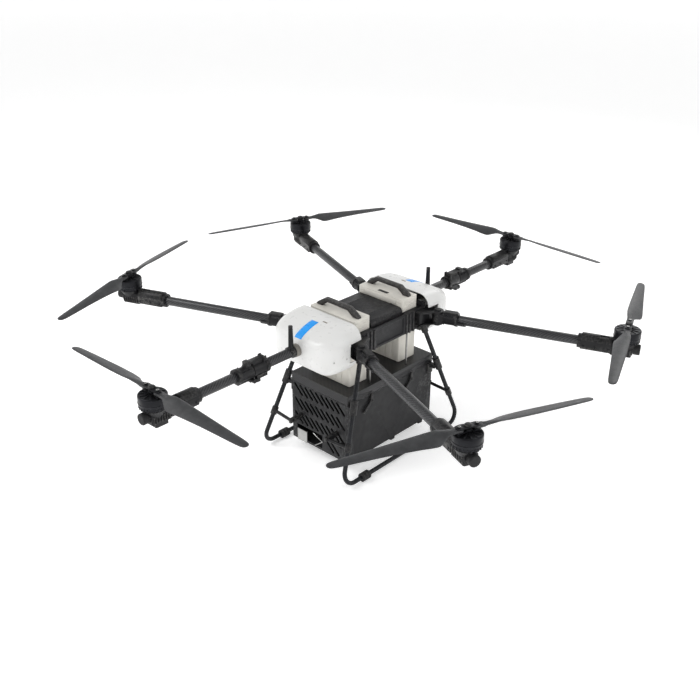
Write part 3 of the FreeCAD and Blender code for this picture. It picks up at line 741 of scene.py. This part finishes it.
def dress_rotor(arm):
    """Motor bell of one arm, with its ribs, band, cap and blade pins."""
    node, body = "rotor_" + arm, "spinning_rotor_" + arm
    place = arm_matrix(arm)
    finish_piece(eased(node, 0.0007, name="rotor_body_" + arm), body, MATERIALS["motor_metal"])
    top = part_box(node)[1].z
    bell_top = HUB_Z - 0.016
    low, high = (0.018, -0.0026, bell_top - 0.001), (0.050, 0.0026, bell_top + 0.0028)
    ribs = []
    for step in range(RIBS):
        spin = place @ Matrix.Rotation(2 * math.pi * (step + 0.5) / RIBS, 4, "Z")
        ribs.append(slab("rib%d" % step, low, high, spin, 0.0008))
    band = [(0.0570, -0.0487), (0.0583, -0.0485), (0.0592, -0.0480), (0.0592, -0.0460),
            (0.0583, -0.0455), (0.0570, -0.0453)]
    ribs.append(lathe("band", [(r, HUB_Z + z) for r, z in band], place, 72))
    finish_piece(joined("bell_ribs_" + arm, ribs), body, MATERIALS["motor_metal"])
    pin_reach, up = 0.037, Vector((0, 0, 1))
    spots = [(place @ Vector((0, side * pin_reach, top - 0.0012)), up) for side in (-1, 1)]
    bolts("grip_pin_heads_" + arm, spots, body, MATERIALS["steel_pin"], 0.0056, 0.0022)
    cap = [(0.0145, top - 0.003), (0.0145, top - 0.0005), (0.0125, top + 0.0015), (0.0060, top + 0.0022)]
    finish_piece(lathe("rotor_cap_" + arm, cap, place), body, MATERIALS["joint_plastic"], "black_plastic")


# Blade stations in metres: radius, chord ahead of and behind the pitch line, thickness.
BLADE_STATIONS = (
    (0.060, 0.0155, 0.0155, 0.0092), (0.084, 0.0165, 0.0165, 0.0092), (0.108, 0.0215, 0.0310, 0.0090),
    (0.138, 0.0250, 0.0460, 0.0085), (0.220, 0.0250, 0.0410, 0.0075), (0.330, 0.0228, 0.0322, 0.0060),
    (0.440, 0.0200, 0.0250, 0.0054), (0.515, 0.0178, 0.0192, 0.0046), (0.538, 0.0135, 0.0135, 0.0038),
    (0.5450, 0.0050, 0.0050, 0.0022),
)
BLADE_ROOT, BLADE_TIP = BLADE_STATIONS[0][0], BLADE_STATIONS[-1][0]
BLADE_PITCH = 0.356
BLADE_DROOP = 0.0105
FOIL_STEPS = 13


def smooth_row(rows, at):
    """A row between the given ones, on a curve that keeps to their trend."""
    last = len(rows) - 1
    k = max(0, min(last - 1, sum(1 for row in rows[1:-1] if row[0] <= at)))
    before, here = rows[max(0, k - 1)], rows[k]
    there, after = rows[k + 1], rows[min(last, k + 2)]
    gap = there[0] - here[0]
    f = (at - here[0]) / gap
    result = []
    for column in range(1, len(here)):
        rise_here = (there[column] - before[column]) / max(1e-6, there[0] - before[0])
        rise_there = (after[column] - here[column]) / max(1e-6, after[0] - here[0])
        h00 = 2 * f ** 3 - 3 * f ** 2 + 1
        h10 = f ** 3 - 2 * f ** 2 + f
        h01 = -2 * f ** 3 + 3 * f ** 2
        h11 = f ** 3 - f ** 2
        value = h00 * here[column] + h01 * there[column]
        result.append(value + gap * (h10 * rise_here + h11 * rise_there))
    return result


def foil_ring(bm, r, lead, trail, thick, sense):
    """One closed section of a blade, pitched for its radius: blunt at the root, an aerofoil beyond."""
    root_end, blend_length, camber = 0.062, 0.060, 1.1
    foil = min(1.0, max(0.0, (r - root_end) / blend_length))
    angle = math.atan(BLADE_PITCH / (2 * math.pi * r)) * foil
    chord = lead + trail
    sag = BLADE_DROOP * ((r - BLADE_ROOT) / 0.485) ** 1.1
    ring = []
    for surface in (1, -1):
        for k in range(FOIL_STEPS):
            turn = math.pi * (k if surface > 0 else FOIL_STEPS - k) / FOIL_STEPS
            share = 0.5 - 0.5 * math.cos(turn)
            curved = 0.2969 * math.sqrt(share) - 0.126 * share - 0.3516 * share ** 2
            curved += 0.2843 * share ** 3 - 0.1015 * share ** 4
            blunt = math.sqrt(max(0.0, 1 - (2 * share - 1) ** 4)) * 0.5
            half = thick * (5 * curved * foil + blunt * (1 - foil))
            rise = camber * thick * share * (1 - share) * foil + surface * half
            across = lead - share * chord
            y = across * math.cos(angle) - rise * math.sin(angle)
            z = across * math.sin(angle) + rise * math.cos(angle)
            ring.append(bm.verts.new((r, sense * y, HUB_Z + z - sag)))
    return ring


def dress_blade(arm, tag, turn):
    """A thin twisted blade with its neck and eye, for the thicker CAD blade."""
    node = "blade_" + arm + "_" + tag
    sense = spin_sense(arm)
    bm = bmesh.new()
    rings = []
    count = 64
    for k in range(count + 1):
        r = BLADE_ROOT + (BLADE_TIP - BLADE_ROOT) * (1 - (1 - k / count) ** 1.35)
        lead, trail, thick = smooth_row(BLADE_STATIONS, r)
        rings.append(foil_ring(bm, r, max(lead, 0.001), max(trail, 0.001), max(thick, 0.001), sense))
    bridge(bm, rings)
    bm.faces.new(rings[0])
    bm.faces.new(rings[-1])
    place = arm_matrix(arm) @ Matrix.Rotation(math.radians(turn), 4, "Z")
    foil = from_bmesh("foil", bm, place, 55)
    neck = slab("neck", (0.040, -0.0150, HUB_Z - 0.0042), (0.066, 0.0150, HUB_Z + 0.0042), place, 0.0015)
    profile = [(0.0150, -0.0049), (0.0158, -0.0042), (0.0158, 0.0042), (0.0150, 0.0049)]
    eye_place = place @ Matrix.Translation((0.037, 0, HUB_Z))
    eye = lathe("eye", profile, eye_place)
    low, high = (0.060, -0.0035, HUB_Z + 0.003), (0.104, 0.0035, HUB_Z + 0.0062)
    ridge = slab("ridge", low, high, place, 0.0015, 0.0015)
    piece = joined("blade_skin_" + arm + "_" + tag, [foil, neck, eye, ridge])
    soften(piece, 50)
    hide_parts(node)
    finish_piece(piece, "swing_blade_" + arm + "_" + tag, MATERIALS["prop_nylon"])


TUBE_MATERIAL = {}
for arm in ARMS:
    TUBE_MATERIAL[arm] = dress_arm(arm)
    dress_motor_mount(arm)
    dress_rotor(arm)
    dress_blade(arm, "a", 90)
    dress_blade(arm, "b", 270)


# ---- fixed roots of the front and rear arms ------------------------------------------------------
def dress_fold_joint(end):
    """Fixed tube, folding joint, nose collar and latch of the front or rear arm."""
    node = "arm_root_" + end

    def is_ring(low, high):
        return high.y - low.y < 0.05 and high.x - low.x < 0.06

    def is_joint(low, high):
        return not is_tube(low, high) and not is_ring(low, high)

    pipe = eased(node, 0.0004, is_tube, "fixed_tube_" + end)
    finish_piece(pipe, "airframe", TUBE_MATERIAL[end], "carbon_tube")
    joint = eased(node, 0.0018, is_joint, "fold_joint_" + end)
    finish_piece(joint, "airframe", MATERIALS["joint_plastic"], "black_plastic")
    ring = eased(node, 0.0030, is_ring, "nose_collar_" + end)
    finish_piece(ring, "airframe", MATERIALS["collar_grey"], "black_plastic")
    latch = eased("fold_latch_" + end, 0.0022, name="fold_latch_lever_" + end)
    finish_piece(latch, "latch_lever_" + end, MATERIALS["joint_plastic"], "black_plastic")


for end, side in ENDS:
    dress_fold_joint(end)


# ---- frame ---------------------------------------------------------------------------------------
# Width of the rounded edges, in metres, of each node that keeps its CAD shape.
EDGE_WIDTHS = {
    "side_beams": 0.0012, "corner_brackets": 0.0012, "cross_members": 0.0006, "avionics": 0.0010,
    "hanger_rods": 0.0008, "centre_cover": 0.0016, "skid_couplers": 0.0016, "leg_fittings": 0.0014,
    "case_tub": 0.0010, "case_lid": 0.0014, "case_panel_rear": 0.0005, "antennas": 0.0030,
    "legs_left": 0.0003, "legs_right": 0.0003, "skid_tubes": 0.0003,
}
OTHER_MATERIAL = {
    "case_lid": "case_lid", "corner_brackets": "joint_plastic", "antennas": "joint_plastic",
    "leg_fittings": "joint_plastic",
}
for node, width in EDGE_WIDTHS.items():
    material = MATERIALS[OTHER_MATERIAL.get(node, SLOT[node])]
    finish_piece(eased(node, width), BODY[node], material, SLOT[node])
for side in ("front_left", "rear_left", "front_right", "rear_right"):
    node = "case_latch_" + side
    finish_piece(eased(node, 0.0014), BODY[node], MATERIALS["joint_plastic"], "black_plastic")


# ---- nose and tail covers ------------------------------------------------------------------------
# Stations in metres: distance from the centre, half width, lowest, highest, corner radius.
COVER_STATIONS = (
    (0.2335, 0.1955, 0.5410, 0.7340, 0.056), (0.2800, 0.1985, 0.5360, 0.7330, 0.060),
    (0.3300, 0.1970, 0.5340, 0.7270, 0.062), (0.3700, 0.1900, 0.5340, 0.7160, 0.060),
    (0.3950, 0.1780, 0.5370, 0.7050, 0.054), (0.4110, 0.1630, 0.5460, 0.6970, 0.046),
    (0.4230, 0.1450, 0.5660, 0.6880, 0.038), (0.4305, 0.1220, 0.5980, 0.6780, 0.028),
)
COVER_START, COVER_END = COVER_STATIONS[0][0], COVER_STATIONS[-1][0]
CREASE_Z = 0.668
FLANGE_Z = 0.556
INNER_START = 0.2300
SKIN = 0.0032
SCREW_Y, SCREW_Z = (0.322, 0.386), 0.612
HOLE_Y, HOLE_R = 0.435, 0.0293
STRIPE_X = (-0.0205, -0.010, 0.0, 0.010, 0.0205)
STRIPE_Y = (0.318, 0.4265)
# Where each cover's slab of painted slot shade sits.
SLOT_SHADE_Y = 0.300
# Blocks cut for the side arms on the left front, as x, y and z pairs: the notch, and the jaw below it.
NOTCH = (0.150, 0.240, 0.215, 0.302, ARM_Z - 0.048, ARM_Z + 0.046)
JAW = (0.150, 0.240, 0.215, 0.258, 0.500, ARM_Z - 0.040)


def smooth_step(value):
    """Rises smoothly from 0 to 1 as the value does."""
    value = max(0.0, min(1.0, value))
    return value * value * (3 - 2 * value)


def cover_inset(z):
    """The skin steps in below the crease and back out at the bottom flange."""
    return 0.0030 * (smooth_step((CREASE_Z - z) / 0.007) - smooth_step((FLANGE_Z - z) / 0.005))


def cover_ring(bm, y, row, grow, side):
    """One rounded cross-section of a cover, with points along its straight sides too."""
    half, low, high, r = row
    half, low, high, r = half + grow, low - grow, high + grow, r + 0.8 * grow
    arc, edge = 10, 8
    right, top, base = half - r, high - r, low + r
    corners = ((right, top, 0), (-right, top, 90), (-right, base, 180), (right, base, 270))
    outline = []
    for cx, cz, start in corners:
        for k in range(arc + 1):
            angle = math.radians(start + 90 * k / arc)
            outline.append((cx + r * math.cos(angle), cz + r * math.sin(angle)))
    spots = []
    for k, (x, z) in enumerate(outline):
        spots.append((x, z))
        if (k + 1) % (arc + 1) == 0:
            nx, nz = outline[(k + 1) % len(outline)]
            spots += [(x + (nx - x) * s / edge, z + (nz - z) * s / edge) for s in range(1, edge)]
    ring = []
    for x, z in spots:
        inset = cover_inset(z)
        ring.append(bm.verts.new((x - math.copysign(min(abs(x), inset), x), side * y, z)))
    return ring


def pod(name, grow, side, start):
    """Solid nose shape grown by an offset, from a start distance to its tip."""
    bm = bmesh.new()
    last = COVER_END + grow
    rings = []
    count = 46
    for k in range(count + 1):
        y = start + (last - start) * (1 - (1 - k / count) ** 1.5)
        row = smooth_row(COVER_STATIONS, min(max(y - grow, COVER_START), COVER_END))
        rings.append(cover_ring(bm, y, row, grow, side))
    half, low, high, r = COVER_STATIONS[-1][1:]
    for shrink, step in ((0.006, 0.0018), (0.016, 0.0028)):
        row = (half - shrink, low + shrink, high - shrink, max(0.012, r - shrink))
        rings.append(cover_ring(bm, last + step, row, grow, side))
    bridge(bm, rings)
    bm.faces.new(rings[0])
    bm.faces.new(rings[-1])
    return from_bmesh(name, bm, None, 60)


def carve(thing, cutter, operation="DIFFERENCE"):
    """Boolean with another mesh, which is used up."""
    modifier = thing.modifiers.new("cut", "BOOLEAN")
    modifier.operation = operation
    modifier.solver = "EXACT"
    modifier.object = cutter
    apply_modifiers(thing)
    bpy.data.objects.remove(cutter)


def bare_block(low, high):
    """A plain block, used only as a cutter."""
    bm = bmesh.new()
    bmesh.ops.create_cube(bm, size=1.0)
    size = Vector(high) - Vector(low)
    for vert in bm.verts:
        vert.co = Vector(low) + Vector([(vert.co[a] + 0.5) * size[a] for a in range(3)])
    return from_bmesh("cutter", bm)


def sided(x0, x1, y0, y1, z0, z1, side_x, side_y):
    """A block given for the left and front, moved to the wanted side and end."""
    xs, ys = span(side_x, x0, x1), span(side_y, y0, y1)
    return bare_block((xs[0], ys[0], z0), (xs[1], ys[1], z1))


def cover_skin(end, side):
    """The hollow shell, cut open for the side arms and for the nose tube."""
    shell = pod("cover_skin_" + end, 0.0, side, COVER_START)
    carve(shell, pod("inner", -SKIN, side, INNER_START))
    for side_x in (-1, 1):
        carve(shell, sided(*NOTCH, side_x, side))
        carve(shell, sided(*JAW, side_x, side))
    spot = Matrix.Translation((0, side * HOLE_Y, ARM_Z)) @ Matrix.Rotation(math.pi / 2, 4, "X")
    carve(shell, lathe("hole", [(HOLE_R, -0.03), (HOLE_R, 0.03)], spot, 64))
    soften(shell, 35)
    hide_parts("cover_" + end)
    finish_piece(shell, "airframe", MATERIALS["white_shell"])


def cover_lips(end, side):
    """A raised rim around each notch."""
    x0, x1, y0, y1, z0, z1 = NOTCH
    lips = []
    for side_x in (-1, 1):
        lip = pod("lip", 0.0022, side, 0.2340)
        carve(lip, pod("inner", -0.0010, side, INNER_START))
        carve(lip, sided(x0 + 0.02, x1, y0, y1 + 0.007, z0 + 0.002, z1 + 0.007, side_x, side), "INTERSECT")
        carve(lip, sided(*NOTCH, side_x, side))
        lips.append(lip)
    lip = joined("cover_lip_" + end, lips)
    soften(lip, 35)
    finish_piece(lip, "airframe", MATERIALS["white_shell"])


def cover_stripe(end, side):
    """A thin blue band laid along the top of the cover."""
    bm = bmesh.new()
    rows = []
    count = 40
    for k in range(count + 1):
        y = STRIPE_Y[0] + (STRIPE_Y[1] - STRIPE_Y[0]) * (1 - (1 - k / count) ** 1.4)
        high = smooth_row(COVER_STATIONS, y)[2]
        rows.append([bm.verts.new((x, side * y, high + 0.0005)) for x in STRIPE_X])
    for first, second in zip(rows, rows[1:]):
        for k in range(len(STRIPE_X) - 1):
            bm.faces.new((first[k], first[k + 1], second[k + 1], second[k]))
    stripe = from_bmesh("cover_stripe_" + end, bm)
    thicken = stripe.modifiers.new("thick", "SOLIDIFY")
    thicken.thickness = 0.0006
    apply_modifiers(stripe)
    finish_piece(stripe, "airframe", MATERIALS["blue_vinyl"], "white_shell")


def dress_cover(end, side):
    """White shell of one end with its rims, stripe, screws and a small dark slab of painted shade for a
    slot recess.
    """
    cover_skin(end, side)
    cover_lips(end, side)
    cover_stripe(end, side)
    spots = []
    for y in SCREW_Y:
        half = smooth_row(COVER_STATIONS, y)[0]
        for side_x in (-1, 1):
            spots.append((Vector((side_x * (half - 0.0034), side * y, SCREW_Z)), Vector((side_x, 0, 0))))
    bolts("cover_screws_" + end, spots, "airframe", MATERIALS["steel_pin"], 0.0042, 0.0022)
    # A raised dark brown slab stands in for a slot recess; its colour is painted shade of the recess.
    high = smooth_row(COVER_STATIONS, SLOT_SHADE_Y)[2]
    x0 = -0.030 * side
    shade_slab = slab("cover_port_" + end, (x0, side * SLOT_SHADE_Y - 0.003, high - 0.0010),
                (x0 + 0.026, side * SLOT_SHADE_Y + 0.003, high + 0.0011), None, 0.0005)
    finish_piece(shade_slab, "airframe", MATERIALS["port_brown"], "black_plastic")


for end, side in ENDS:
    dress_cover(end, side)


# ---- batteries -----------------------------------------------------------------------------------
RIB_LEVELS = (0.678, 0.690, 0.702, 0.714)
RIB_HEIGHT = 0.007
HANDLE_Z = 0.70


def dress_battery(end, side):
    """One battery: its case with ribs around the top, its handle and its button."""
    node, body = "battery_" + end, "lift_out_battery_" + end

    def is_handle(low, high):
        return low.z > HANDLE_Z

    def is_case(low, high):
        return not is_handle(low, high)

    def rib(xs, ys, z):
        return slab("rib", (xs[0], ys[0], z), (xs[1], ys[1], z + RIB_HEIGHT), None, 0.0008)

    case = eased(node, 0.0009, is_case, "battery_case_" + end)
    finish_piece(case, body, MATERIALS["battery_shell"])
    handle = eased(node, 0.0045, is_handle, "battery_handle_" + end)
    finish_piece(handle, body, MATERIALS["handle_black"], "black_plastic")
    ribs = []
    for z in RIB_LEVELS:
        for side_x in (-1, 1):
            ribs.append(rib(span(side_x, 0.1370, 0.1394), span(side, 0.122, 0.206), z))
        ribs.append(rib((-0.128, 0.128), span(side, 0.2155, 0.2178), z))
        for xs in ((-0.128, -0.100), (0.100, 0.128)):
            ribs.append(rib(xs, span(side, 0.1125, 0.1102), z))
    finish_piece(joined("battery_ribs_" + end, ribs), body, MATERIALS["battery_shell"])
    button = eased("battery_button_" + end, 0.0009)
    finish_piece(button, "push_button_" + end, MATERIALS["handle_black"], "rubber_grip")


for end, side in ENDS:
    dress_battery(end, side)


# ---- payload case --------------------------------------------------------------------------------
# Each test picks one solid of the front panel by where it lies.
def is_panel(low, high):
    return high.x - low.x > 0.2


def is_hatch(low, high):
    return high.x < -0.05 and not is_panel(low, high)


def is_knob(low, high):
    return low.x > 0.1


def is_bail(low, high):
    return low.x < 0.0 < high.x and not is_panel(low, high)


for test, name, width, material, slot in (
        (is_panel, "vent_panel_front", 0.0005, "case_sheet", "case_sheet"),
        (is_hatch, "hatch_plate", 0.0008, "grey_label", "case_sheet"),
        (is_knob, "hatch_knob", 0.0015, "rubber_grip", "rubber_grip"),
        (is_bail, "hatch_bail", 0.0003, "steel_pin", "steel_pin")):
    finish_piece(eased("case_panel_front", width, test, name), "airframe", MATERIALS[material], slot)
